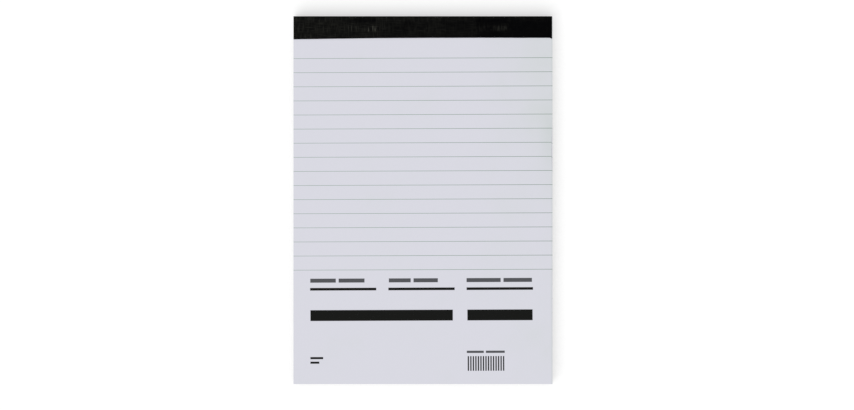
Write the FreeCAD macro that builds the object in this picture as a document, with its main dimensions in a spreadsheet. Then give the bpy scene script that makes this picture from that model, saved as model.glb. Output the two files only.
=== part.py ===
import FreeCAD, Part
import Sketcher
import math
import os

# A5 writing pad, bound at the head: ruled sheets on a greyboard back, a printed cover sheet on top,
# two wire staples through the whole stack and a cloth tape folded over the head.
# The unit is the millimetre. +X runs across the pad, +Y to its head and +Z out of its cover.
# The origin is the middle of the underside.

driving_sizes = [
    ("sheet_width", 148.0, "A5 sheet across"),
    ("sheet_length", 210.0, "A5 sheet from head to foot"),
    ("board_thickness", 1.0, "greyboard back"),
    ("page_count", 100, "ruled sheets"),
    ("page_thickness", 0.09, "one ruled sheet"),
    ("cover_thickness", 0.2, "printed cover sheet"),
    ("tape_thickness", 0.25, "binding cloth with its glue"),
    ("tape_front_reach", 12.1, "from the head down the cover, at the right side"),
    ("tape_skew", 0.9, "what the tape reaches further at the left side"),
    ("tape_back_reach", 15.0, "from the head down the board"),
    ("tape_fold_radius", 0.25, "outside of the two folds at the head"),
    ("crease_clearance", 0.1, "from the tape's lowest point to the cover's crease"),
    ("crease_gap", 0.1, "between the bound strip and the opening cover"),
    ("wire_thickness", 0.5, "flat staple wire, in the plane of the staple"),
    ("wire_width", 0.7, "flat staple wire, from head to foot"),
    ("wire_clearance", 0.05, "round the wire, all along it"),
    ("wire_bend_radius", 0.6, "middle line of the wire at its four bends"),
    ("crown_length", 12.0, "between the middle lines of a staple's legs"),
    ("crown_rise", 0.2, "how far the crown stands above the cover"),
    ("clinch_length", 4.0, "turned end of a leg, from the leg's middle line"),
    ("staple_spacing", 74.0, "between the middles of the two staples"),
    ("staple_shift", 2.4, "how far the pair stands to the right of the pad's middle"),
    ("staple_inset", 4.5, "from the head to the wire"),
    ("ridge_run", 4.0, "how far the cloth tents past each end of a crown"),
]

# Levels and lines that several pieces share, as formulas on the sheet of sizes.
head = "(sizes.sheet_length - sizes.tape_thickness) / 2"
foot = "-(sizes.sheet_length + sizes.tape_thickness) / 2"
pages_under = "sizes.board_thickness"
pages_top = f"({pages_under} + sizes.page_count * sizes.page_thickness)"
cover_top = f"({pages_top} + sizes.cover_thickness)"
tape_top = f"({cover_top} + sizes.tape_thickness)"
crease = f"({head} - sizes.tape_front_reach - sizes.tape_skew - sizes.crease_clearance)"
crown_level = f"({cover_top} + sizes.crown_rise - sizes.wire_thickness / 2)"
clinch_level = "(sizes.tape_thickness + sizes.wire_thickness / 2)"
half_crown = "sizes.crown_length / 2"
clinch_end = f"({half_crown} - sizes.clinch_length)"

doc = FreeCAD.newDocument("writing_pad")


def make_size_sheet():
    sheet = doc.addObject("Spreadsheet::Sheet", "sizes")
    for row, (alias, size, meaning) in enumerate(driving_sizes, start=1):
        sheet.set(f"A{row}", alias)
        sheet.set(f"B{row}", str(size))
        sheet.set(f"C{row}", meaning)
        sheet.setAlias(f"B{row}", alias)
    doc.recompute()
    return sheet


sizes = make_size_sheet()


def value_of(formula):
    return float(sizes.evalExpression(formula))


def new_body(label):
    body = doc.addObject("PartDesign::Body", label)
    body.Label = label
    return body


def sketch_on(body, name, role, lift=None):
    """A sketch on one of the body's own origin planes, lifted off it by a formula where one is given."""
    sketch = body.newObject("Sketcher::SketchObject", name)
    plane = next(item for item in body.Origin.OriginFeatures if item.Role == role)
    sketch.AttachmentSupport = [(plane, "")]
    sketch.MapMode = "FlatFace"
    if lift:
        sketch.setExpression("AttachmentOffset.Base.z", lift)
    return sketch


def bind(sketch, name, kind, references, formula):
    """Add a dimension to the sketch, named and bound to a formula on the sheet."""
    number = sketch.addConstraint(Sketcher.Constraint(kind, *references, value_of(formula)))
    sketch.renameConstraint(number, name)
    sketch.setExpression(f"Constraints.{name}", formula)


def draw_outline(sketch, corners):
    """A closed outline of straight lines, with both places of each corner bound to formulas."""
    points = [FreeCAD.Vector(value_of(across), value_of(up), 0) for across, up in corners]
    for start, end in zip(points, points[1:] + points[:1]):
        sketch.addGeometry(Part.LineSegment(start, end), False)
    for line in range(len(points)):
        following = (line + 1) % len(points)
        sketch.addConstraint(Sketcher.Constraint("Coincident", line, 2, following, 1))
    for line, (across, up) in enumerate(corners):
        bind(sketch, f"across_{line}", "DistanceX", (-1, 1, line, 1), across)
        bind(sketch, f"up_{line}", "DistanceY", (-1, 1, line, 1), up)


def pad_side_outline(body, corners):
    """Draw an outline seen from the side, with head to the right, and pad it across the whole pad."""
    sketch = sketch_on(body, f"{body.Label}_side", "YZ_Plane")
    draw_outline(sketch, corners)
    pad = body.newObject("PartDesign::Pad", f"{body.Label}_pad")
    pad.Profile = sketch
    pad.setExpression("Length", "sizes.sheet_width")
    pad.SideType = "Symmetric"
    return pad


def rectangle(start, end, low, high):
    return [(start, low), (end, low), (end, high), (start, high)]


def make_board():
    """Greyboard, pressed in by the tape's thickness where the tape lies under it."""
    rebate_end = f"{head} - sizes.tape_back_reach"
    body = new_body("board_blank")
    pad_side_outline(body, [
        (foot, "0"),
        (rebate_end, "0"),
        (rebate_end, "sizes.tape_thickness"),
        (head, "sizes.tape_thickness"),
        (head, pages_under),
        (foot, pages_under),
    ])
    return body


def make_pages():
    body = new_body("page_stack")
    pad_side_outline(body, rectangle(foot, head, pages_under, pages_top))
    return body


def make_bound_strip():
    """The head of the cover sheet, which the tape and staples hold, down to the crease."""
    body = new_body("cover_head")
    pad_side_outline(body, rectangle(crease, head, pages_top, cover_top))
    return body


def make_front_cover():
    """The rest of the cover sheet, which opens at the crease."""
    body = new_body("front_cover")
    pad_side_outline(body, rectangle(foot, f"{crease} - sizes.crease_gap", pages_top, cover_top))
    return body


def round_head_folds(body, pad):
    """Round the two outer edges of the tape's folds at the head."""
    outer_y = value_of(f"{head} + sizes.tape_thickness")
    levels = (0.0, value_of(tape_top))
    near = 1e-6
    folds = []
    for number, edge in enumerate(pad.Shape.Edges, start=1):
        middle = edge.CenterOfMass
        at_head = abs(middle.y - outer_y) < near
        at_level = any(abs(middle.z - level) < near for level in levels)
        if at_head and at_level:
            folds.append(f"Edge{number}")
    fillet = body.newObject("PartDesign::Fillet", "tape_folds")
    fillet.Base = (pad, folds)
    fillet.setExpression("Radius", "sizes.tape_fold_radius")
    return fillet


def staple_across(sign):
    """Where a staple's middle is across the pad: -1 is the left one and 1 the right one."""
    return f"sizes.staple_shift + {sign} * sizes.staple_spacing / 2"


def add_ridge(body, side, sign):
    """The low tent of the cloth over a staple's crown, from the head's fold to as far below the wire."""
    ridge = body.newObject("PartDesign::AdditiveEllipsoid", f"ridge_{side}")
    plane = next(item for item in body.Origin.OriginFeatures if item.Role == "XY_Plane")
    ridge.AttachmentSupport = [(plane, "")]
    ridge.MapMode = "FlatFace"
    ridge.setExpression("AttachmentOffset.Base.x", staple_across(sign))
    ridge.setExpression("AttachmentOffset.Base.y", f"{head} - sizes.staple_inset")
    ridge.setExpression("AttachmentOffset.Base.z", f"{cover_top} + sizes.tape_thickness / 2")
    ridge.setExpression("Radius1", "sizes.crown_rise + sizes.tape_thickness / 2")
    ridge.setExpression("Radius2", f"{half_crown} + sizes.ridge_run")
    ridge.setExpression("Radius3", "sizes.staple_inset - sizes.tape_fold_radius")
    ridge.Angle1 = 0
    return ridge


def cut_skew(body):
    """Trim the tape's lower edge on the cover to a line that runs up from left to right."""
    sketch = sketch_on(body, "tape_skew_line", "XY_Plane", f"{pages_top} / 2")
    left = "-sizes.sheet_width / 2"
    right = "sizes.sheet_width / 2"
    short_edge = f"{head} - sizes.tape_front_reach"
    long_edge = f"{short_edge} - sizes.tape_skew"
    below = f"{long_edge} - sizes.tape_front_reach"
    draw_outline(sketch, [(left, below), (right, below), (right, short_edge), (left, long_edge)])
    pocket = body.newObject("PartDesign::Pocket", "tape_skew_cut")
    pocket.Profile = sketch
    pocket.Type = "ThroughAll"
    pocket.Reversed = True
    return pocket


def make_tape():
    """One strip of cloth: down the cover, over the head and under the board."""
    body = new_body("tape_strip")
    front_end = f"{head} - sizes.tape_front_reach - sizes.tape_skew"
    back_end = f"{head} - sizes.tape_back_reach"
    outside = f"{head} + sizes.tape_thickness"
    pad = pad_side_outline(body, [
        (back_end, "0"),
        (outside, "0"),
        (outside, tape_top),
        (front_end, tape_top),
        (front_end, cover_top),
        (head, cover_top),
        (head, "sizes.tape_thickness"),
        (back_end, "sizes.tape_thickness"),
    ])
    doc.recompute()
    round_head_folds(body, pad)
    add_ridge(body, "left", "-1")
    add_ridge(body, "right", "1")
    doc.recompute()
    before = body.Shape.Volume
    cut_skew(body)
    doc.recompute()
    wedge = value_of("sizes.sheet_width * sizes.tape_skew * sizes.tape_thickness / 2")
    require(before - body.Shape.Volume > 0.9 * wedge, "the tape's skew cut removed too little")
    return body


def draw_wire_path(sketch):
    """A closed-up staple seen from the foot: crown above, two legs, and both ends turned inwards."""
    side = value_of(half_crown)
    end = value_of(clinch_end)
    low = value_of(clinch_level)
    high = value_of(crown_level)
    bend = value_of("sizes.wire_bend_radius")
    quarter = math.pi / 2

    def line(x1, z1, x2, z2):
        start = FreeCAD.Vector(x1, z1, 0)
        return sketch.addGeometry(Part.LineSegment(start, FreeCAD.Vector(x2, z2, 0)), False)

    def arc(x, z, first_quarter):
        circle = Part.Circle(FreeCAD.Vector(x, z, 0), FreeCAD.Vector(0, 0, 1), bend)
        start = first_quarter * quarter
        return sketch.addGeometry(Part.ArcOfCircle(circle, start, start + quarter), False)

    end_left = line(-end, low, bend - side, low)
    bend_low_left = arc(bend - side, low + bend, 2)
    leg_left = line(-side, low + bend, -side, high - bend)
    bend_top_left = arc(bend - side, high - bend, 1)
    crown = line(bend - side, high, side - bend, high)
    bend_top_right = arc(side - bend, high - bend, 0)
    leg_right = line(side, high - bend, side, low + bend)
    bend_low_right = arc(side - bend, low + bend, 3)
    end_right = line(side - bend, low, end, low)

    # Each joint is tangent: line end to arc, as (line, its point, arc, its point).
    joints = [
        (end_left, 2, bend_low_left, 2),
        (leg_left, 1, bend_low_left, 1),
        (leg_left, 2, bend_top_left, 2),
        (crown, 1, bend_top_left, 1),
        (crown, 2, bend_top_right, 2),
        (leg_right, 1, bend_top_right, 1),
        (leg_right, 2, bend_low_right, 2),
        (end_right, 1, bend_low_right, 1),
    ]
    for joint in joints:
        sketch.addConstraint(Sketcher.Constraint("Tangent", *joint))
    for level in (end_left, crown, end_right):
        sketch.addConstraint(Sketcher.Constraint("Horizontal", level))
    for upright in (leg_left, leg_right):
        sketch.addConstraint(Sketcher.Constraint("Vertical", upright))
    for other in (bend_top_left, bend_top_right, bend_low_right):
        sketch.addConstraint(Sketcher.Constraint("Equal", bend_low_left, other))
    bind(sketch, "bend_radius", "Radius", (bend_low_left,), "sizes.wire_bend_radius")
    bind(sketch, "left_leg", "DistanceX", (leg_left, 1, -1, 1), half_crown)
    bind(sketch, "right_leg", "DistanceX", (-1, 1, leg_right, 1), half_crown)
    bind(sketch, "crown_height", "DistanceY", (-1, 1, crown, 1), crown_level)
    bind(sketch, "left_clinch_height", "DistanceY", (-1, 1, end_left, 1), clinch_level)
    bind(sketch, "right_clinch_height", "DistanceY", (-1, 1, end_right, 2), clinch_level)
    bind(sketch, "left_clinch_end", "DistanceX", (end_left, 1, -1, 1), clinch_end)
    bind(sketch, "right_clinch_end", "DistanceX", (-1, 1, end_right, 2), clinch_end)


def make_wire(label, sign, clearance):
    """Flat wire bent to a staple near the head, with a clearance added all round it."""
    body = new_body(label)
    path = sketch_on(body, f"{label}_path", "XZ_Plane")
    draw_wire_path(path)
    section = sketch_on(body, f"{label}_section", "YZ_Plane", f"-{clinch_end}")
    half_width = f"(sizes.wire_width / 2 + {clearance})"
    half_depth = f"(sizes.wire_thickness / 2 + {clearance})"
    low = f"{clinch_level} - {half_depth}"
    high = f"{clinch_level} + {half_depth}"
    draw_outline(section, rectangle(f"-{half_width}", half_width, low, high))
    sweep = body.newObject("PartDesign::AdditivePipe", f"{label}_sweep")
    sweep.Profile = section
    sweep.Spine = path
    body.setExpression(".Placement.Base.x", staple_across(sign))
    body.setExpression(".Placement.Base.y", f"{head} - sizes.staple_inset")
    return body


def make_channels():
    """The room that the two staples take up in everything they go through."""
    channels = doc.addObject("Part::MultiFuse", "staple_channels")
    clearance = "sizes.wire_clearance"
    channels.Shapes = [
        make_wire("channel_left", "-1", clearance),
        make_wire("channel_right", "1", clearance),
    ]
    return channels


def pierce(label, blank, channels):
    """Take the staples' channels out of a piece."""
    pierced = doc.addObject("Part::Cut", label)
    pierced.Label = label
    pierced.Base = blank
    pierced.Tool = channels
    doc.recompute()
    require(blank.Shape.Volume - pierced.Shape.Volume > 0, f"the staples miss {label}")
    return pierced


def require(condition, message):
    if not condition:
        raise RuntimeError(message)


def check_objects(sub_parts):
    for item in doc.Objects:
        broken = "Invalid" in item.State or "Error" in item.State
        require(not broken, f"{item.Label} failed: {item.State}")
    for sub_part in sub_parts:
        shape = sub_part.Shape
        sound = not shape.isNull() and shape.isValid() and len(shape.Solids) == 1
        require(sound, f"{sub_part.Label} is not one valid solid")


def write_parts(sub_parts):
    os.makedirs("parts", exist_ok=True)
    for sub_part in sub_parts:
        sub_part.Shape.exportStep(f"parts/{sub_part.Label}.step")
        volume = sub_part.Shape.Volume
        print(f"{sub_part.Label}: {volume:.2f} cubic mm")


channels = make_channels()
sub_parts = [
    pierce("back_board", make_board(), channels),
    pierce("page_block", make_pages(), channels),
    pierce("cover_bound_strip", make_bound_strip(), channels),
    make_front_cover(),
    pierce("binding_tape", make_tape(), channels),
    make_wire("staple_left", "-1", "0"),
    make_wire("staple_right", "1", "0"),
]
doc.recompute()
check_objects(sub_parts)
write_parts(sub_parts)
print(f"crease at y = {value_of(crease):.3f}, cover top at z = {value_of(cover_top):.3f}")
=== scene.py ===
import math

import bpy
import numpy as np
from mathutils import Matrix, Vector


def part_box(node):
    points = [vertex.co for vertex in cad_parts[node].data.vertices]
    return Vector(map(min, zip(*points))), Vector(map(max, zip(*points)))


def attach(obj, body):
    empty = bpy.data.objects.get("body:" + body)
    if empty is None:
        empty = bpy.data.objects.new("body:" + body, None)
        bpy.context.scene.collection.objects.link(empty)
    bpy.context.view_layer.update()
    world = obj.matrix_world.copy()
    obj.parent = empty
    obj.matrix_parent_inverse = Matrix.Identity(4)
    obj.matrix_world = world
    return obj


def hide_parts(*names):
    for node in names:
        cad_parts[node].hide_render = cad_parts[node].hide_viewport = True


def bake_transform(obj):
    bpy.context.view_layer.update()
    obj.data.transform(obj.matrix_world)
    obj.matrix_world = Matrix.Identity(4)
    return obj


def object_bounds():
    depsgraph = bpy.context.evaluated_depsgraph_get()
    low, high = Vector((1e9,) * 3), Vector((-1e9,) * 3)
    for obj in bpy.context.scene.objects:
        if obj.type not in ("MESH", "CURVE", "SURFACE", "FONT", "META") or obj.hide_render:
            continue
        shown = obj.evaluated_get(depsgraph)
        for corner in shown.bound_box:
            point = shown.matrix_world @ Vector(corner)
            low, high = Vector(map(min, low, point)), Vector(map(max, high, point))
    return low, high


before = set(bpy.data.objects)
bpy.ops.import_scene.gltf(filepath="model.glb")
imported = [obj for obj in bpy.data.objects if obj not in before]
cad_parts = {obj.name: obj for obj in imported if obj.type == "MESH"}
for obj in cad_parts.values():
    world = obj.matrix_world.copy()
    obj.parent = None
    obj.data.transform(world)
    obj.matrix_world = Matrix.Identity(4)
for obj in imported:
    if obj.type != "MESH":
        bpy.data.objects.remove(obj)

# A5 writing pad seen from straight above: a cover sheet, a block of ruled sheets, a greyboard back,
# two staples, and a linen-grain tape folded over the head. The file's unit is the metre. Places on a
# sheet are in millimetres: across from its left side, and down from its head.

mm = 0.001
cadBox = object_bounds()
sheetLow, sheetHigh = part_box("page_block")
stripLow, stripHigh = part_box("cover_bound_strip")
flapLow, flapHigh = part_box("front_cover")
tapeLow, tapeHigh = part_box("binding_tape")
leftX, rightX = sheetLow.x, sheetHigh.x
footY, headY = sheetLow.y, sheetHigh.y
sheetWidth = (rightX - leftX) / mm
sheetLength = (headY - footY) / mm
creaseDown = (headY - stripLow.y) / mm
print("frame loaded: sheets", round(sheetWidth, 2), "by", round(sheetLength, 2), "mm")


def shown(*levels):
    # the linear colour for levels from 0 to 255 as a screen shows them: a straight start, then a
    # power of 2.4
    share = np.array(levels, float) / 255
    curve = ((share + 0.055) / 1.055) ** 2.4
    return tuple(float(level) for level in np.where(share <= 0.04045, share / 12.92, curve)) + (1.0,)


# Shader maths: a Signal is one output socket, and sums written with it become Math nodes.

class Signal:
    def __init__(self, tree, socket=None):
        self.tree = tree
        self.socket = socket

    def make(self, kind, settings=None, inputs=None, output=0):
        node = self.tree.nodes.new(kind)
        for name, value in (settings or {}).items():
            setattr(node, name, value)
        for name, value in (inputs or {}).items():
            feed(self.tree, node.inputs[name], value)
        return Signal(self.tree, node.outputs[output])

    def twin(self, output):
        # another output of the node that this signal comes from
        return Signal(self.tree, self.socket.node.outputs[output])

    def math(self, operation, *values):
        return self.make("ShaderNodeMath", {"operation": operation}, dict(enumerate(values)))

    def __add__(self, other):
        return self.math("ADD", self, other)

    def __radd__(self, other):
        return self.math("ADD", other, self)

    def __sub__(self, other):
        return self.math("SUBTRACT", self, other)

    def __rsub__(self, other):
        return self.math("SUBTRACT", other, self)

    def __mul__(self, other):
        return self.math("MULTIPLY", self, other)

    def __rmul__(self, other):
        return self.math("MULTIPLY", other, self)

    def __truediv__(self, other):
        return self.math("DIVIDE", self, other)

    def __rtruediv__(self, other):
        return self.math("DIVIDE", other, self)

    def __abs__(self):
        return self.math("ABSOLUTE", self)

    def least(self, other):
        return self.math("MINIMUM", self, other)

    def most(self, other):
        return self.math("MAXIMUM", self, other)

    def rounded(self):
        return self.math("ROUND", self)

    def sine(self):
        return self.math("SINE", self)

    def ramp(self, start, end):
        # 0 at start and 1 at end, level at both; a start above the end turns it round
        return self.make(
            "ShaderNodeMapRange",
            {"interpolation_type": "SMOOTHSTEP"},
            {"Value": self, "From Min": start, "From Max": end},
        )

    def mix(self, first, second):
        # the colour that lies this share of the way from the first to the second
        inputs = {"Factor": self, 6: first, 7: second}
        return self.make("ShaderNodeMix", {"data_type": "RGBA"}, inputs, 2)

    def stretch(self, *scales):
        # a place with its three coordinates each multiplied
        settings = {"operation": "MULTIPLY"}
        return self.make("ShaderNodeVectorMath", settings, {0: self, 1: scales})

    def noise(self, scale, detail=2.0, roughness=0.5):
        # cloudy noise at this place, from 0 to 1 with its middle at 0.5
        inputs = {"Vector": self, "Scale": scale, "Detail": detail, "Roughness": roughness}
        return self.make("ShaderNodeTexNoise", None, inputs)

    def axes(self):
        # the three coordinates of a place, one by one
        first = self.make("ShaderNodeSeparateXYZ", None, {0: self})
        return first, first.twin(1), first.twin(2)


def feed(tree, socket, value):
    # a link from a signal, or a fixed value
    if isinstance(value, Signal):
        tree.links.new(value.socket, socket)
    else:
        socket.default_value = value


def newMaterial(name, specular, metallic=0.0):
    # returns the material, the blank signal that its nodes start from and its shader
    material = bpy.data.materials.new(name)
    material.use_nodes = True
    tree = material.node_tree
    shader = next(node for node in tree.nodes if node.type == "BSDF_PRINCIPLED")
    shader.inputs["Specular IOR Level"].default_value = specular
    shader.inputs["Metallic"].default_value = metallic
    return material, Signal(tree), shader


def setSurface(start, shader, colour, roughness, height, strength, depth):
    # colour, roughness and a bump of the given depth in metres
    bump = {"Strength": strength, "Distance": depth, "Height": height}
    feed(start.tree, shader.inputs["Base Color"], colour)
    feed(start.tree, shader.inputs["Roughness"], roughness)
    feed(start.tree, shader.inputs["Normal"], start.make("ShaderNodeBump", None, bump))


def solidPlace(start):
    # the piece's own coordinates in millimetres
    coordinates = start.make("ShaderNodeTexCoord", None, None, "Object")
    return coordinates.stretch(1 / mm, 1 / mm, 1 / mm)


def sheetPlace(start):
    # millimetres along the surface, from the map that the mesh carries
    return start.make("ShaderNodeUVMap", {"uv_map": "sheetPlace"})


# Print on paper: ruled lines and plain shapes. A shape is left, right, top, bottom on the sheet.

printing = {
    "climb": 0.0039,          # rise to the right for each millimetre across
    "climbPivot": 156.0,      # the print turns about this distance down
    "firstLine": 24.0,
    "linePitch": 8.06,
    "coverLines": 16,
    "pageLines": 23,
    "lineWidth": 0.26,
    "softEdge": 0.05,
    "line": shown(113, 146, 123),
    "lineRight": shown(113, 137, 121),
    "black": shown(15, 16, 14),
    "grey": shown(84, 85, 89),
    "columns": ((9.5, 47.3), (54.2, 92.1), (98.9, 136.9)),
    "columnRule": (155.1, 156.6),
    "boldBars": ((9.6, 91.0, 167.8, 174.0), (99.3, 136.6, 167.8, 174.0)),
    "footBars": ((9.5, 16.8, 194.6, 195.8), (9.5, 14.6, 197.2, 198.4)),
    "stripes": (99.4, 1.44, 0.72, 15, 194.4, 202.8),      # left, pitch, width, count, top, bottom
    "greyBars": (
        (9.6, 24.2, 149.8, 152.1),
        (25.8, 40.6, 149.8, 152.1),
        (54.5, 67.0, 149.8, 152.1),
        (68.6, 82.5, 149.8, 152.1),
        (98.9, 118.4, 149.8, 152.1),
        (120.0, 136.3, 149.8, 152.1),
        (98.9, 108.6, 191.3, 192.6),
        (109.8, 120.6, 191.3, 192.6),
    ),
}


def blackShapes():
    # the three rules, the bold bars, the pair at the foot and the stripes at even steps
    shapes = [(left, right, *printing["columnRule"]) for left, right in printing["columns"]]
    shapes += [*printing["boldBars"], *printing["footBars"]]
    left, pitch, width, count, top, bottom = printing["stripes"]
    shapes += [(left + pitch * step, left + pitch * step + width, top, bottom) for step in range(count)]
    return shapes


def printPlace(across, down):
    # the sheet's place turned by the small climb of the print
    climb = printing["climb"]
    return across - (down - printing["climbPivot"]) * climb, down + across * climb


def lineMask(down, count):
    # 1 on a ruled line: the distance from the nearest whole step of the pitch, against half a width
    pitch = printing["linePitch"]
    past = down - printing["firstLine"]
    nearest = (past / pitch).rounded().most(0.0).least(count - 1.0)
    half = printing["lineWidth"] / 2
    soft = printing["softEdge"]
    return abs(past - nearest * pitch).ramp(half + soft, half - soft)


def shapeMask(across, down, shapes):
    # 1 inside any shape: the larger overhang past its half width or half height, least of them all
    outside = None
    for left, right, top, bottom in shapes:
        beside = abs(across - (left + right) / 2) - (right - left) / 2
        beyond = abs(down - (top + bottom) / 2) - (bottom - top) / 2
        overhang = beside.most(beyond)
        outside = outside.least(overhang) if outside else overhang
    return outside.ramp(printing["softEdge"], -printing["softEdge"])


def paperGrain(place):
    # the fine relief of writing paper, from noise
    return place.noise(3.4, 5.0, 0.65)


# Meshes: points in grids, put into Blender as whole arrays.

sharpFrom = 50.0          # degrees between two faces of a shell, from which their edge stays crisp


def makePiece(name, points, faces, materials):
    # a mesh from an array of points and the faces' point numbers, in an object at the origin
    mesh = bpy.data.meshes.new(name)
    mesh.from_pydata(points, [], faces)
    for material in materials:
        mesh.materials.append(material)
    piece = bpy.data.objects.new(name, mesh)
    bpy.context.scene.collection.objects.link(piece)
    return piece


def makeShell(name, outer, inner, places, material):
    # a closed skin: the outer grid, the inner grid turned round, and a band that joins their borders
    rows, columns = outer.shape[:2]
    index = np.arange(rows * columns).reshape(rows, columns)
    corners = [index[:-1, :-1], index[:-1, 1:], index[1:, 1:], index[1:, :-1]]
    quads = np.stack(corners, -1).reshape(-1, 4)
    border = np.concatenate([index[0, :-1], index[:-1, -1], index[-1, :0:-1], index[:0:-1, 0]])
    following = np.roll(border, -1)
    band = np.stack([border, border + index.size, following + index.size, following], -1)
    faces = np.concatenate([quads, quads[:, ::-1] + index.size, band])
    points = np.concatenate([outer.reshape(-1, 3), inner.reshape(-1, 3)])
    piece = makePiece(name, points, faces, [material])
    piece.data.shade_smooth()
    piece.data.set_sharp_from_angle(angle=math.radians(sharpFrom))
    layer = piece.data.uv_layers.new(name="sheetPlace")
    corner = np.empty(len(piece.data.loops), np.int32)
    piece.data.loops.foreach_get("vertex_index", corner)
    bothSides = np.tile(places.reshape(-1, 2), (2, 1))
    layer.uv.foreach_set("vector", bothSides[corner].astype(np.float32).ravel())
    return piece


def setPointValue(piece, name, outer, inner):
    # one number for each point of a shell, for its material to read
    values = np.concatenate([outer.ravel(), inner.ravel()]).astype(np.float32)
    attribute = piece.data.attributes.new(name, "FLOAT", "POINT")
    attribute.data.foreach_set("value", values)


def smoothStep(value, start, end):
    # 0 at start and 1 at end, level at both: three times the square less twice the cube
    share = np.clip((value - start) / (end - start), 0, 1)
    return share * share * (3 - 2 * share)


def hump(value, start, end):
    # 0 outside start and end, 1 halfway: the square of half a sine wave
    return np.sin(math.pi * np.clip((value - start) / (end - start), 0, 1)) ** 2


def ripple(value, seed, waves, longest):
    # the sum of sine waves of the longest length, a half, a third and so on of it, each as low as it
    # is short, over the sum of their heights
    turns = np.random.default_rng(seed).uniform(0, 2 * math.pi, waves)
    orders = np.arange(1, waves + 1)
    phase = 2 * math.pi * value[..., None] * orders / longest + turns
    return (np.sin(phase) / orders).sum(-1) / (1 / orders).sum()


# Cover sheet: one sheet from head to foot, with finer rows at the crease.

coverSheet = {
    "step": 2.0,
    "bendLength": 2.4,        # length of sheet at the crease given finer rows
    "bendSteps": 16,
    "heldSteps": 8,           # under the tape
    "sideSteps": 12,          # in the waved stretch at the right side
    "clearance": 0.02,        # above the first page
    "heldLength": 25.0,       # below the crease the tape still holds it flat
    "cornerLift": 0.3,
    "cornerLiftLeft": 0.18,
    "cornerReach": 26.0,
    "curlPower": 1.6,         # more makes the curl steeper towards the corner
    "waveSpan": (58.0, 94.0),     # the shallow wave at the right side
    "waveLift": 0.3,
    "waveInset": 0.55,
    "waveReach": 5.0,
    "dentShade": (68.0, 27.0, 5.0, 10.0),   # painted shade beside the wave: middle, length out and in, and width of the shaded side
    "sideTone": 1.6,          # width of the faint tone along the right side
    "shortSpan": (141.0, 178.0),  # where the side stands back and a page shows
    "shortInset": 0.28,
    "paper": shown(219, 219, 228),
    # a cool darker paper, for the random slow tone and for the painted shade towards the right side
    "paperCoolShade": shown(212, 216, 218),
    # darker paper, for the band along the right edge and for the painted shade beside the wave
    "paperSide": shown(204, 210, 210),
    "fibre": shown(190, 191, 198),
    "fibreShare": 0.12,
    "specular": 0.06,
    "bump": (0.35, 0.00004),  # strength, and depth in metres
}


def coverPaper():
    # paper with a slow random cool tone, painted shade that cools and darkens the right side most
    # towards the head, a darker band along the right edge, painted shade beside the wave at the right
    # side, and fine fibres, then on one side the lines, the grey bars and the black shapes
    material, start, shader = newMaterial("coverPaper", coverSheet["specular"])
    place = sheetPlace(start)
    across, down, _ = place.axes()
    printAcross, printDown = printPlace(across, down)
    printed = start.make("ShaderNodeAttribute", {"attribute_name": "printedSide"}, None, "Fac")

    toRight = across / sheetWidth
    toHead = down.ramp(sheetLength * 0.62, sheetLength * 0.2)
    drift = place.noise(0.03, 3.0, 0.6) - 0.5
    # painted shade: the right side cools and darkens, most towards the head
    rightShade = toRight.ramp(0.66, 1.0) * (0.2 + toHead * 0.36) * printed
    driftAndShade = (drift * 1.1 + rightShade + 0.05).ramp(0.0, 1.0)
    fibre = place.stretch(0.7, 1.3, 1.0).noise(2.2, 4.0, 0.7)
    # painted shade beside the wave at the right side
    middle, longest, shortest, width = coverSheet["dentShade"]
    dentShadeMask = abs(down - middle).ramp(longest, shortest) * across.ramp(sheetWidth - width, sheetWidth)
    edge = across.ramp(sheetWidth - coverSheet["sideTone"], sheetWidth)
    side = (edge * 0.5).most(dentShadeMask * printed * 0.6)
    paper = driftAndShade.mix(coverSheet["paper"], coverSheet["paperCoolShade"])
    paper = side.mix(paper, coverSheet["paperSide"])
    paper = (fibre.ramp(0.3, 0.9) * coverSheet["fibreShare"]).mix(paper, coverSheet["fibre"])

    inkDrift = place.noise(0.09)
    lines = lineMask(printDown, printing["coverLines"]) * (0.62 + inkDrift * 0.18 + toRight * 0.26)
    pinholes = place.noise(6.0).ramp(0.7, 0.82) * 0.25
    black = shapeMask(printAcross, printDown, blackShapes()) * (1.0 - pinholes) * printed
    grey = shapeMask(printAcross, printDown, printing["greyBars"]) * printed
    ink = toRight.ramp(0.3, 1.0).mix(printing["line"], printing["lineRight"])
    colour = (lines * printed).mix(paper, ink)
    colour = grey.mix(colour, printing["grey"])
    colour = black.mix(colour, printing["black"])
    roughness = 0.6 - black * 0.12 + fibre * 0.1
    setSurface(start, shader, colour, roughness, paperGrain(place), *coverSheet["bump"])
    return material


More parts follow.
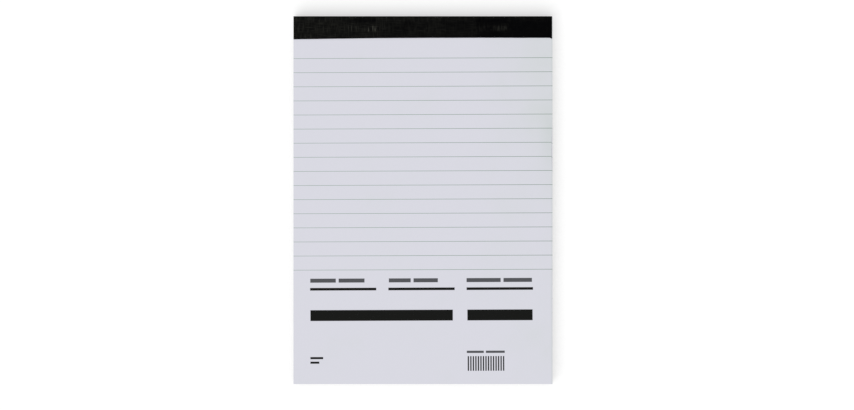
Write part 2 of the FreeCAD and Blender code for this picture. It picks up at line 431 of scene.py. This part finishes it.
def buildCover():
    # height is the clearance, plus a curl that falls off from each foot corner and a wave that falls
    # off from the right side, both faded out under the tape; the wave also pulls the side in
    bend = coverSheet["bendLength"]
    down = np.concatenate([
        np.linspace(0, creaseDown, coverSheet["heldSteps"], endpoint=False),
        np.linspace(creaseDown, creaseDown + bend, coverSheet["bendSteps"], endpoint=False),
        np.linspace(creaseDown + bend, sheetLength, int(sheetLength / coverSheet["step"])),
    ])
    nearSide = coverSheet["waveReach"] * 2
    across = np.concatenate([
        np.linspace(0, sheetWidth - nearSide, int(sheetWidth / coverSheet["step"]), endpoint=False),
        np.linspace(sheetWidth - nearSide, sheetWidth, coverSheet["sideSteps"]),
    ])
    across, down = np.meshgrid(across, down, indexing="ij")

    toSide = np.minimum(across, sheetWidth - across)
    toCorner = np.hypot(toSide, sheetLength - down)
    onRight = across > sheetWidth / 2
    cornerLift = np.where(onRight, coverSheet["cornerLift"], coverSheet["cornerLiftLeft"])
    curl = smoothStep(toCorner, coverSheet["cornerReach"], 0) ** coverSheet["curlPower"]
    fadeIn = np.exp((across - sheetWidth) / coverSheet["waveReach"])
    wave = hump(down, *coverSheet["waveSpan"]) * fadeIn
    short = hump(down, *coverSheet["shortSpan"]) ** 0.5 * fadeIn      # the root evens it out
    loose = smoothStep(down, creaseDown, creaseDown + coverSheet["heldLength"])
    lift = coverSheet["clearance"] + (curl * cornerLift + wave * coverSheet["waveLift"]) * loose
    inset = wave * coverSheet["waveInset"] + short * coverSheet["shortInset"]

    x = leftX + (across - inset) * mm
    y = headY - down * mm
    under = flapLow.z + lift * mm
    paperThickness = flapHigh.z - flapLow.z - coverSheet["clearance"] * mm
    outer = np.stack([x, y, under + paperThickness], -1)
    inner = np.stack([x, y, under], -1)
    piece = makeShell("coverSheet", outer, inner, np.stack([across, down], -1), coverPaper())
    setPointValue(piece, "printedSide", np.ones(across.shape), np.zeros(across.shape))
    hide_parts("cover_bound_strip", "front_cover")
    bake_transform(piece)


# Page block: a hundred sheets, each cut a little short of the solid, the first of them ruled.

pageBlock = {
    "sheets": 100,
    "step": 6.0,              # along the sides
    "topClearance": 0.01,
    "groove": 0.03,           # depth between two sheets
    "ringLevels": (0.0, 0.2, 0.8),    # in a sheet's height: the groove, and its edge, low and high
    "shortest": 0.012,        # how far every sheet stands back
    "scatter": 0.05,          # more for single sheets
    "scatterSeed": 11,
    "lot": 12,
    "lotDrift": 0.08,         # more for lots of sheets together
    "lotRipple": (5, 3, 240.0),       # seed, waves, and the longest wave
    "wobble": 0.012,
    "sheetRipple": (200, 3, 120.0),
    "flushSheets": 4,         # at the top
    "paper": shown(222, 222, 230),
    "fibre": shown(190, 191, 198),
    "fibreShare": 0.12,
    "handledWidth": 4.0,      # smoother paper along both sides
    "edgeLight": shown(229, 228, 227),
    "edgeDark": shown(182, 182, 187),
    "specular": 0.06,
    "pageBump": (0.35, 0.00004),      # strength, and depth in metres
    "edgeBump": (0.4, 0.00005),
}


def ruledPage():
    # the first page: white paper with ruled lines from side to side
    material, start, shader = newMaterial("ruledPage", pageBlock["specular"])
    place = solidPlace(start)
    x, y, _ = place.axes()
    down = headY / mm - y
    fibre = place.noise(2.4, 4.0, 0.7)
    fibreShare = fibre.ramp(0.3, 0.9) * pageBlock["fibreShare"]
    paper = fibreShare.mix(pageBlock["paper"], pageBlock["fibre"])
    inkDrift = place.stretch(0.3, 1.0, 1.0).noise(0.2)
    lines = lineMask(down, printing["pageLines"]) * (0.7 + inkDrift * 0.2)
    handled = abs(x).ramp(sheetWidth / 2 - pageBlock["handledWidth"], sheetWidth / 2)
    colour = lines.mix(paper, printing["line"])
    roughness = 0.62 + fibre * 0.1 - handled * 0.05
    setSurface(start, shader, colour, roughness, paperGrain(place), *pageBlock["pageBump"])
    return material


def pageEdges():
    # noise drawn out along the sides: fine layers, broad lots, and upright marks of the cutter
    material, start, shader = newMaterial("pageEdges", pageBlock["specular"])
    place = solidPlace(start)
    layer = place.stretch(0.02, 0.02, 9.0).noise(1.0, 1.0)
    lot = place.stretch(0.008, 0.008, 1.7).noise(1.0)
    cutMark = place.stretch(0.9, 0.9, 0.12).noise(1.0, 3.0, 0.6)
    dark = layer.ramp(0.42, 0.7) * 0.42 + lot.ramp(0.4, 0.75) * 0.3 + cutMark.ramp(0.5, 0.8) * 0.18
    colour = dark.mix(pageBlock["edgeLight"], pageBlock["edgeDark"])
    roughness = 0.8 + cutMark * 0.1
    relief = layer * 0.7 + cutMark * 0.3
    setSurface(start, shader, colour, roughness, relief, *pageBlock["edgeBump"])
    return material


def buildPages():
    # a ring of points round the sheet, carried up through a groove and two levels for each sheet; a
    # ring stands back from the solid by its sheet's scatter, its lot's drift and a small wobble
    acrossCount = round(sheetWidth / pageBlock["step"])
    alongCount = round(sheetLength / pageBlock["step"])
    acrossSteps = np.linspace(leftX, rightX, acrossCount + 1)
    alongSteps = np.linspace(footY, headY, alongCount + 1)
    ring = np.concatenate([
        np.stack([acrossSteps[:-1], np.full(acrossCount, footY)], -1),
        np.stack([np.full(alongCount, rightX), alongSteps[:-1]], -1),
        np.stack([acrossSteps[:0:-1], np.full(acrossCount, headY)], -1),
        np.stack([np.full(alongCount, leftX), alongSteps[:0:-1]], -1),
    ])
    middle = np.array([leftX + rightX, footY + headY]) / 2
    halfSize = np.array([rightX - leftX, headY - footY]) / 2
    onSide = np.isclose(abs(ring - middle), halfSize)
    inward = -np.sign(ring - middle) * onSide

    sheets = pageBlock["sheets"]
    number = np.arange(sheets)
    around = np.arange(len(ring)) * pageBlock["step"]
    draw = np.random.default_rng(pageBlock["scatterSeed"]).random(sheets)
    scatter = draw[:, None] ** 2 * pageBlock["scatter"]
    lotNumber = number // pageBlock["lot"]
    seed, waves, longest = pageBlock["lotRipple"]
    lots = np.array([ripple(around, seed + lot, waves, longest) for lot in lotNumber])
    seed, waves, longest = pageBlock["sheetRipple"]
    wobbles = np.array([ripple(around, seed + sheet, waves, longest) for sheet in number])
    loose = smoothStep(sheets - number, 1, pageBlock["flushSheets"] + 1)[:, None]
    uneven = scatter + (lots + 1) / 2 * pageBlock["lotDrift"]
    uneven = uneven + (wobbles + 1) * pageBlock["wobble"]
    back = pageBlock["shortest"] + uneven * loose
    back = np.stack([back + pageBlock["groove"], back, back], 1).reshape(-1, len(ring))
    back = np.concatenate([back, back[-1:]])

    bottom = sheetLow.z
    pitch = (sheetHigh.z - pageBlock["topClearance"] * mm - bottom) / sheets
    height = (number[:, None] + np.array(pageBlock["ringLevels"])).ravel()
    height = bottom + np.append(height, sheets) * pitch
    place = ring[None] + inward[None] * back[..., None] * mm
    z = np.repeat(height[:, None], len(ring), 1)
    points = np.concatenate([place, z[..., None]], -1).reshape(-1, 3)

    index = np.arange(len(points)).reshape(z.shape)
    following = np.roll(index, -1, 1)
    sides = np.stack([index[:-1], following[:-1], following[1:], index[1:]], -1).reshape(-1, 4)
    faces = sides.tolist() + [index[0, ::-1].tolist(), index[-1].tolist()]
    piece = makePiece("pageBlock", points, faces, [pageEdges(), ruledPage()])
    piece.data.polygons[len(faces) - 1].material_index = 1
    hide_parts("page_block")
    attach(piece, "pad")


# Binding tape: a strip of linen-grain cloth folded over the head and glued down.

bindingTape = {
    "step": 0.5,
    "frontReach": 12.1,
    "leftDip": 0.9,           # what it reaches further at the left side
    "dipLength": 100.0,
    "foldRadius": 0.4,
    "foldPoints": 6,
    "legPoints": (16, 18, 40),        # under the board, up the head and over the cover
    "edgeWobble": 0.05,
    "edgeRipple": (31, 9, 60.0),      # seed, waves, and the longest wave
    "endInset": 0.25,         # the right end stops short of the paper
    "endSag": (1.4, 0.5),     # the last of its front edge, and how far it hangs down there
    "threadPitch": 0.62,
    "foldPaling": (5.0, 0.5),   # distances from the head fold where its paling starts and is full
    "ridgePower": 1.25,       # more makes the tent over a staple steeper near its top
    "highlightSlope": 0.06,      # the slope that gets the full painted highlight
    "highlightSpan": (-0.3, 0.6),        # where the painted highlight starts and is full, in half staples
    "highlightLeft": 0.3,        # the share of it to the left of that
    "shadeSlope": 0.1,    # the slope that gets the full painted shade
    # lighter at the left and darker at the right: painted sheen from the light at the left, mixed by
    # random patches of the cloth's own tone
    "clothLeft": shown(16, 16, 15),
    "clothRight": shown(4, 4, 5),
    # painted shade in the hollows between the threads
    "valleyShade": shown(2, 2, 3),
    # thick threads, lighter partly as painted highlight
    "slubHighlight": shown(50, 50, 46),
    # pale threads: painted highlight on the staples' foot-facing slopes, partly worn, and lint
    "highlightAndWear": shown(80, 80, 73),
    "specular": 0.01,
    "bump": (0.7, 0.00012),   # strength, and depth in metres
}


def linenCloth():
    # two sets of threads as sine waves that wander a little, with painted shade in the hollows between
    # them; long thick threads both ways, lighter partly as painted highlight; the cloth lighter to the
    # left and darker to the right as painted sheen, with random patches, and paler along the head fold;
    # and over the staples a painted highlight of pale threads, partly worn ones, on one slope and
    # painted shade on the other
    material, start, shader = newMaterial("linenCloth", bindingTape["specular"])
    place = sheetPlace(start)
    across, along, _ = place.axes()
    overStaple = start.make("ShaderNodeAttribute", {"attribute_name": "overStaple"}, None, "Fac")
    # painted highlight, partly worn threads, on the staple slopes that face the foot
    highlightAndWear = overStaple.most(0.0)
    # painted shade on the staple slopes that face the head
    slopeShade = overStaple.least(0.0)
    turn = 2 * math.pi / bindingTape["threadPitch"]
    wander = place.noise(0.35) * 4.0
    upright = across * turn + wander
    level = along * turn + wander
    threads = upright.sine().most(level.sine())
    slubLevel = place.stretch(0.16, 2.4, 1.0).noise(1.0, 1.5).ramp(0.46, 0.72)
    slubUpright = place.stretch(1.7, 0.17, 1.0).noise(1.0, 1.5).ramp(0.46, 0.72)
    patches = place.noise(0.07, 3.0, 0.6) - 0.5
    toRight = across / sheetWidth
    headFold = (tapeHigh.y - tapeLow.y + stripHigh.z) / mm
    # paler along the head fold, towards the right
    foldPaling = abs(along - headFold).ramp(*bindingTape["foldPaling"]) * toRight.ramp(0.2, 0.6)
    # painted sheen: lighter to the left, darker to the right; the patches are the cloth's own tone
    toneAndLight = 0.94 - toRight * 0.86 + patches * 1.1 + foldPaling * 0.2 + slopeShade * 0.4 + highlightAndWear * 0.1
    lighterShare = toneAndLight.ramp(0.1, 1.0)
    # thick threads lighter partly as painted highlight, more so where the painted sheen is
    slubsLit = slubLevel.most(slubUpright) * (0.04 + lighterShare * 0.36)
    # pale threads on the lit slope: painted highlight, partly worn
    litAndWornThreads = highlightAndWear * slubUpright * (0.03 + lighterShare * 0.55)
    lint = place.noise(2.6, 1.0).ramp(0.74, 0.8) * 0.3

    cloth = lighterShare.mix(bindingTape["clothRight"], bindingTape["clothLeft"])
    # the hollows between the threads darker: painted shade
    colour = (threads * 0.5 + 0.5).ramp(0.1, 0.9).mix(bindingTape["valleyShade"], cloth)
    colour = slubsLit.mix(colour, bindingTape["slubHighlight"])
    colour = litAndWornThreads.most(lint).mix(colour, bindingTape["highlightAndWear"])
    roughness = 0.66 + patches * 0.12 - highlightAndWear * 0.12
    height = threads * 0.35 + slubsLit * 0.6
    setSurface(start, shader, colour, roughness, height, *bindingTape["bump"])
    return material


def arc(centreY, centreZ, radius, start, end):
    # points on a circle at even turns between two angles
    turn = np.linspace(start, end, bindingTape["foldPoints"])
    return np.stack([centreY + radius * np.cos(turn), centreZ + radius * np.sin(turn)], -1)


def tapeLine(inset, top, frontEnd):
    # the tape's section moved in by inset: under the board, round the two folds at the head, and
    # over the cover to the front end
    quarter = math.pi / 2
    fold = bindingTape["foldRadius"] * mm
    centreY = tapeHigh.y - fold
    lowFold = arc(centreY, fold, fold - inset, -quarter, 0)
    highFold = arc(centreY, top - fold, fold - inset, 0, quarter)
    underCount, headCount, overCount = bindingTape["legPoints"]
    under = np.linspace([tapeLow.y, inset], lowFold[0], underCount)[:-1]
    headFace = np.linspace(lowFold[-1], highFold[0], headCount)[1:-1]
    over = np.linspace(highFold[-1], [frontEnd, top - inset], overCount)[1:]
    return np.concatenate([under, lowFold, headFace, highFold, over])


def stapleRidge(x, y):
    # the cloth's height over the staples, full on the wire and falling smoothly to nothing at the head,
    # and 1 on the right side of the staple it covers, where the painted highlight, partly worn threads,
    # goes
    ridge = np.zeros_like(x)
    rightSide = np.zeros_like(x)
    highlightStart, highlightFull = bindingTape["highlightSpan"]
    for name in ("staple_left", "staple_right"):
        low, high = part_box(name)
        middle = (low + high) / 2
        half = (high - low) / 2
        pastWire = np.hypot(
            np.maximum(abs(x - middle.x) - half.x, 0),
            np.maximum(abs(y - middle.y) - half.y, 0),
        )
        height = smoothStep(pastWire, headY - middle.y, 0) ** bindingTape["ridgePower"]
        height = height * (high.z - stripHigh.z)
        toRight = smoothStep(x - middle.x, half.x * highlightStart, half.x * highlightFull)
        rightSide = np.where(height > ridge, toRight, rightSide)
        ridge = np.maximum(ridge, height)
    return ridge, rightSide


def buildTape():
    # the section carried across the pad, its front end following the skewed and slightly wavy cut
    thickness = tapeHigh.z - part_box("staple_left")[1].z
    top = stripHigh.z + thickness
    steps = round(sheetWidth / bindingTape["step"])
    across = np.linspace(0, sheetWidth - bindingTape["endInset"], steps)
    dip = np.clip(1 - across / bindingTape["dipLength"], 0, 1) ** 2 * bindingTape["leftDip"]
    sagWidth, sagReach = bindingTape["endSag"]
    sag = smoothStep(across, across[-1] - sagWidth, across[-1]) * sagReach
    wobble = ripple(across, *bindingTape["edgeRipple"]) * bindingTape["edgeWobble"]
    reach = bindingTape["frontReach"] + dip + sag + wobble
    frontEnds = headY - reach * mm
    outerLines = np.array([tapeLine(0.0, top, end) for end in frontEnds])
    innerLines = np.array([tapeLine(thickness, top, end) for end in frontEnds])
    stepLengths = np.linalg.norm(np.diff(outerLines, axis=1), axis=-1)
    along = np.pad(np.cumsum(stepLengths, 1), ((0, 0), (1, 0))) / mm
    x = np.repeat((leftX + across * mm)[:, None], along.shape[1], 1)
    onTop = smoothStep(outerLines[..., 1], top - bindingTape["foldRadius"] * mm, top)
    ridge, rightSide = stapleRidge(x, outerLines[..., 0])
    ridge = ridge * onTop
    outer = np.stack([x, outerLines[..., 0], outerLines[..., 1] + ridge], -1)
    inner = np.stack([x, innerLines[..., 0], innerLines[..., 1] + ridge], -1)
    places = np.stack([np.repeat(across[:, None], along.shape[1], 1), along], -1)
    piece = makeShell("bindingTape", outer, inner, places, linenCloth())

    # above 0 on the slope that falls towards the foot, for the painted highlight that is partly worn
    # threads, and below 0 on the one towards the head, for painted shade
    slope = np.gradient(ridge, axis=1) / np.gradient(along * mm, axis=1)
    # painted highlight on the slope towards the foot, partly worn threads
    leftShare = bindingTape["highlightLeft"]
    highlightAndWear = smoothStep(-slope, 0.0, bindingTape["highlightSlope"])
    highlightAndWear = highlightAndWear * (leftShare + rightSide * (1 - leftShare))
    # painted shade on the slope towards the head
    slopeShade = smoothStep(slope, 0.0, bindingTape["shadeSlope"])
    setPointValue(piece, "overStaple", highlightAndWear - slopeShade, np.zeros(highlightAndWear.shape))
    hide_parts("binding_tape")
    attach(piece, "pad")


# Greyboard back and staples keep the frame's own solids and get their finish here.

backBoard = {
    "dark": shown(142, 137, 129),
    "light": shown(176, 171, 161),
    "blotch": shown(150, 142, 130),
    "speck": shown(84, 80, 76),
    "paleFleck": shown(203, 200, 192),
    "specular": 0.15,
    "bump": (0.5, 0.00008),   # strength, and depth in metres
}

staples = {
    "dull": shown(172, 175, 180),
    "bright": shown(206, 208, 211),
    "specular": 0.5,
    "bump": (0.15, 0.00002),
}


def greyboard():
    # fibres drawn out down the board, slow blotches, and scattered dark and pale flecks
    material, start, shader = newMaterial("greyboard", backBoard["specular"])
    place = solidPlace(start)
    fibres = place.stretch(0.5, 2.0, 2.0).noise(1.4, 5.0, 0.7)
    blotch = place.noise(0.09, 3.0, 0.6)
    specks = place.noise(1.9).ramp(0.68, 0.76) * 0.7
    flecks = place.stretch(1.3, 0.8, 1.0).noise(2.3).ramp(0.68, 0.78) * 0.5
    colour = fibres.ramp(0.3, 0.75).mix(backBoard["dark"], backBoard["light"])
    colour = (blotch.ramp(0.35, 0.8) * 0.35).mix(colour, backBoard["blotch"])
    colour = specks.mix(colour, backBoard["speck"])
    colour = flecks.mix(colour, backBoard["paleFleck"])
    roughness = 0.8 + blotch * 0.1
    relief = fibres * 0.7 + blotch * 0.3
    setSurface(start, shader, colour, roughness, relief, *backBoard["bump"])
    return material


def stapleWire():
    # drawn wire: noise pulled out along it sets both the tone and the gloss
    material, start, shader = newMaterial("stapleWire", staples["specular"], 1.0)
    drawn = solidPlace(start).stretch(0.3, 6.0, 0.3).noise(1.5, 3.0)
    colour = drawn.ramp(0.3, 0.7).mix(staples["dull"], staples["bright"])
    setSurface(start, shader, colour, 0.26 + drawn * 0.16, drawn, *staples["bump"])
    return material


def dressNodes():
    # each solid's plain material gives way to its finish
    board = greyboard()
    wire = stapleWire()
    for name, material in (("back_board", board), ("staple_left", wire), ("staple_right", wire)):
        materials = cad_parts[name].data.materials
        materials.clear()
        materials.append(material)


# Studio: a white floor that keeps the shadow, an even sky, one soft sun, and the camera overhead.

studio = {
    "floorHalf": 12.0,
    "floorDrop": 0.00005,
    "floorShade": 0.62,
    "floorGlow": 0.44,            # tops the floor up to white where it is looked at
    "skyLevel": 0.68,
    "sunLevel": 0.31,             # what the sun adds to a level surface
    "sunSize": 50.0,
    "sunTilt": 32.0,
    "sunTurn": -34.0,             # from the foot side, round to the left
    "lens": 100.0,
    "sensor": 36.0,
    "picture": (854, 410),
    "pixelsPerMm": 1.75,
    "padMiddle": (423.0, 200.15),  # where the pad's middle shows, in pixels from the top left
}


def lookedAt(start):
    # 1 for rays from the eye, from gloss and through glass, and 0 for light that falls on things
    eye = start.make("ShaderNodeLightPath", None, None, "Is Camera Ray")
    return eye.most(eye.twin("Is Glossy Ray")).most(eye.twin("Is Transmission Ray"))


def buildFloor():
    # one square just below the pad, whose glow makes it white to the eye and lights nothing
    half = studio["floorHalf"]
    level = -studio["floorDrop"]
    shade = studio["floorShade"]
    material, start, shader = newMaterial("studioFloor", 0.0)
    shader.inputs["Base Color"].default_value = (shade, shade, shade, 1.0)
    shader.inputs["Roughness"].default_value = 1.0
    feed(start.tree, shader.inputs["Emission Color"], lookedAt(start).mix((0, 0, 0, 1), (1, 1, 1, 1)))
    shader.inputs["Emission Strength"].default_value = studio["floorGlow"]
    corners = [(-half, -half, level), (half, -half, level), (half, half, level), (-half, half, level)]
    makePiece("studioFloor", corners, [(0, 1, 2, 3)], [material])


def buildSky():
    # white to the eye and in gloss, and at its own level where it falls on things
    world = bpy.data.worlds.new("studioSky")
    world.use_nodes = True
    bpy.context.scene.world = world
    tree = world.node_tree
    background = next(node for node in tree.nodes if node.type == "BACKGROUND")
    background.inputs["Color"].default_value = (1.0, 1.0, 1.0, 1.0)
    strength = studio["skyLevel"] + lookedAt(Signal(tree)) * (1.0 - studio["skyLevel"])
    feed(tree, background.inputs["Strength"], strength)


def buildSun():
    # the lamp's strength is what a level surface gets, times pi, over the cosine of the tilt
    tilt = math.radians(studio["sunTilt"])
    light = bpy.data.lights.new("studioSun", "SUN")
    light.energy = studio["sunLevel"] * math.pi / math.cos(tilt)
    light.angle = math.radians(studio["sunSize"])
    lamp = bpy.data.objects.new("studioSun", light)
    lamp.rotation_euler = (tilt, 0.0, math.radians(studio["sunTurn"]))
    bpy.context.scene.collection.objects.link(lamp)


def buildCamera():
    # straight down, as high as gives the pixels for each millimetre on the cover, and moved aside so
    # that the pad's middle falls on its pixel
    camera = bpy.data.cameras.new("photoCamera")
    camera.lens = studio["lens"]
    camera.sensor_width = studio["sensor"]
    pixel = mm / studio["pixelsPerMm"]
    pictureWidth, pictureHeight = studio["picture"]
    padAcross, padDown = studio["padMiddle"]
    middle = (cadBox[0] + cadBox[1]) / 2
    x = middle.x + (pictureWidth / 2 - padAcross) * pixel
    y = middle.y - (pictureHeight / 2 - padDown) * pixel
    height = pictureWidth * pixel * studio["lens"] / studio["sensor"]
    holder = bpy.data.objects.new("photoCamera", camera)
    holder.location = (x, y, flapHigh.z + height)
    bpy.context.scene.collection.objects.link(holder)
    bpy.context.scene.camera = holder


buildCover()
print("cover sheet made")
buildPages()
print("page block made")
buildTape()
print("binding tape made")
dressNodes()
print("board and staples dressed")
buildFloor()
buildSky()
buildSun()
buildCamera()
bpy.context.scene.view_settings.view_transform = "Standard"
print("studio made")
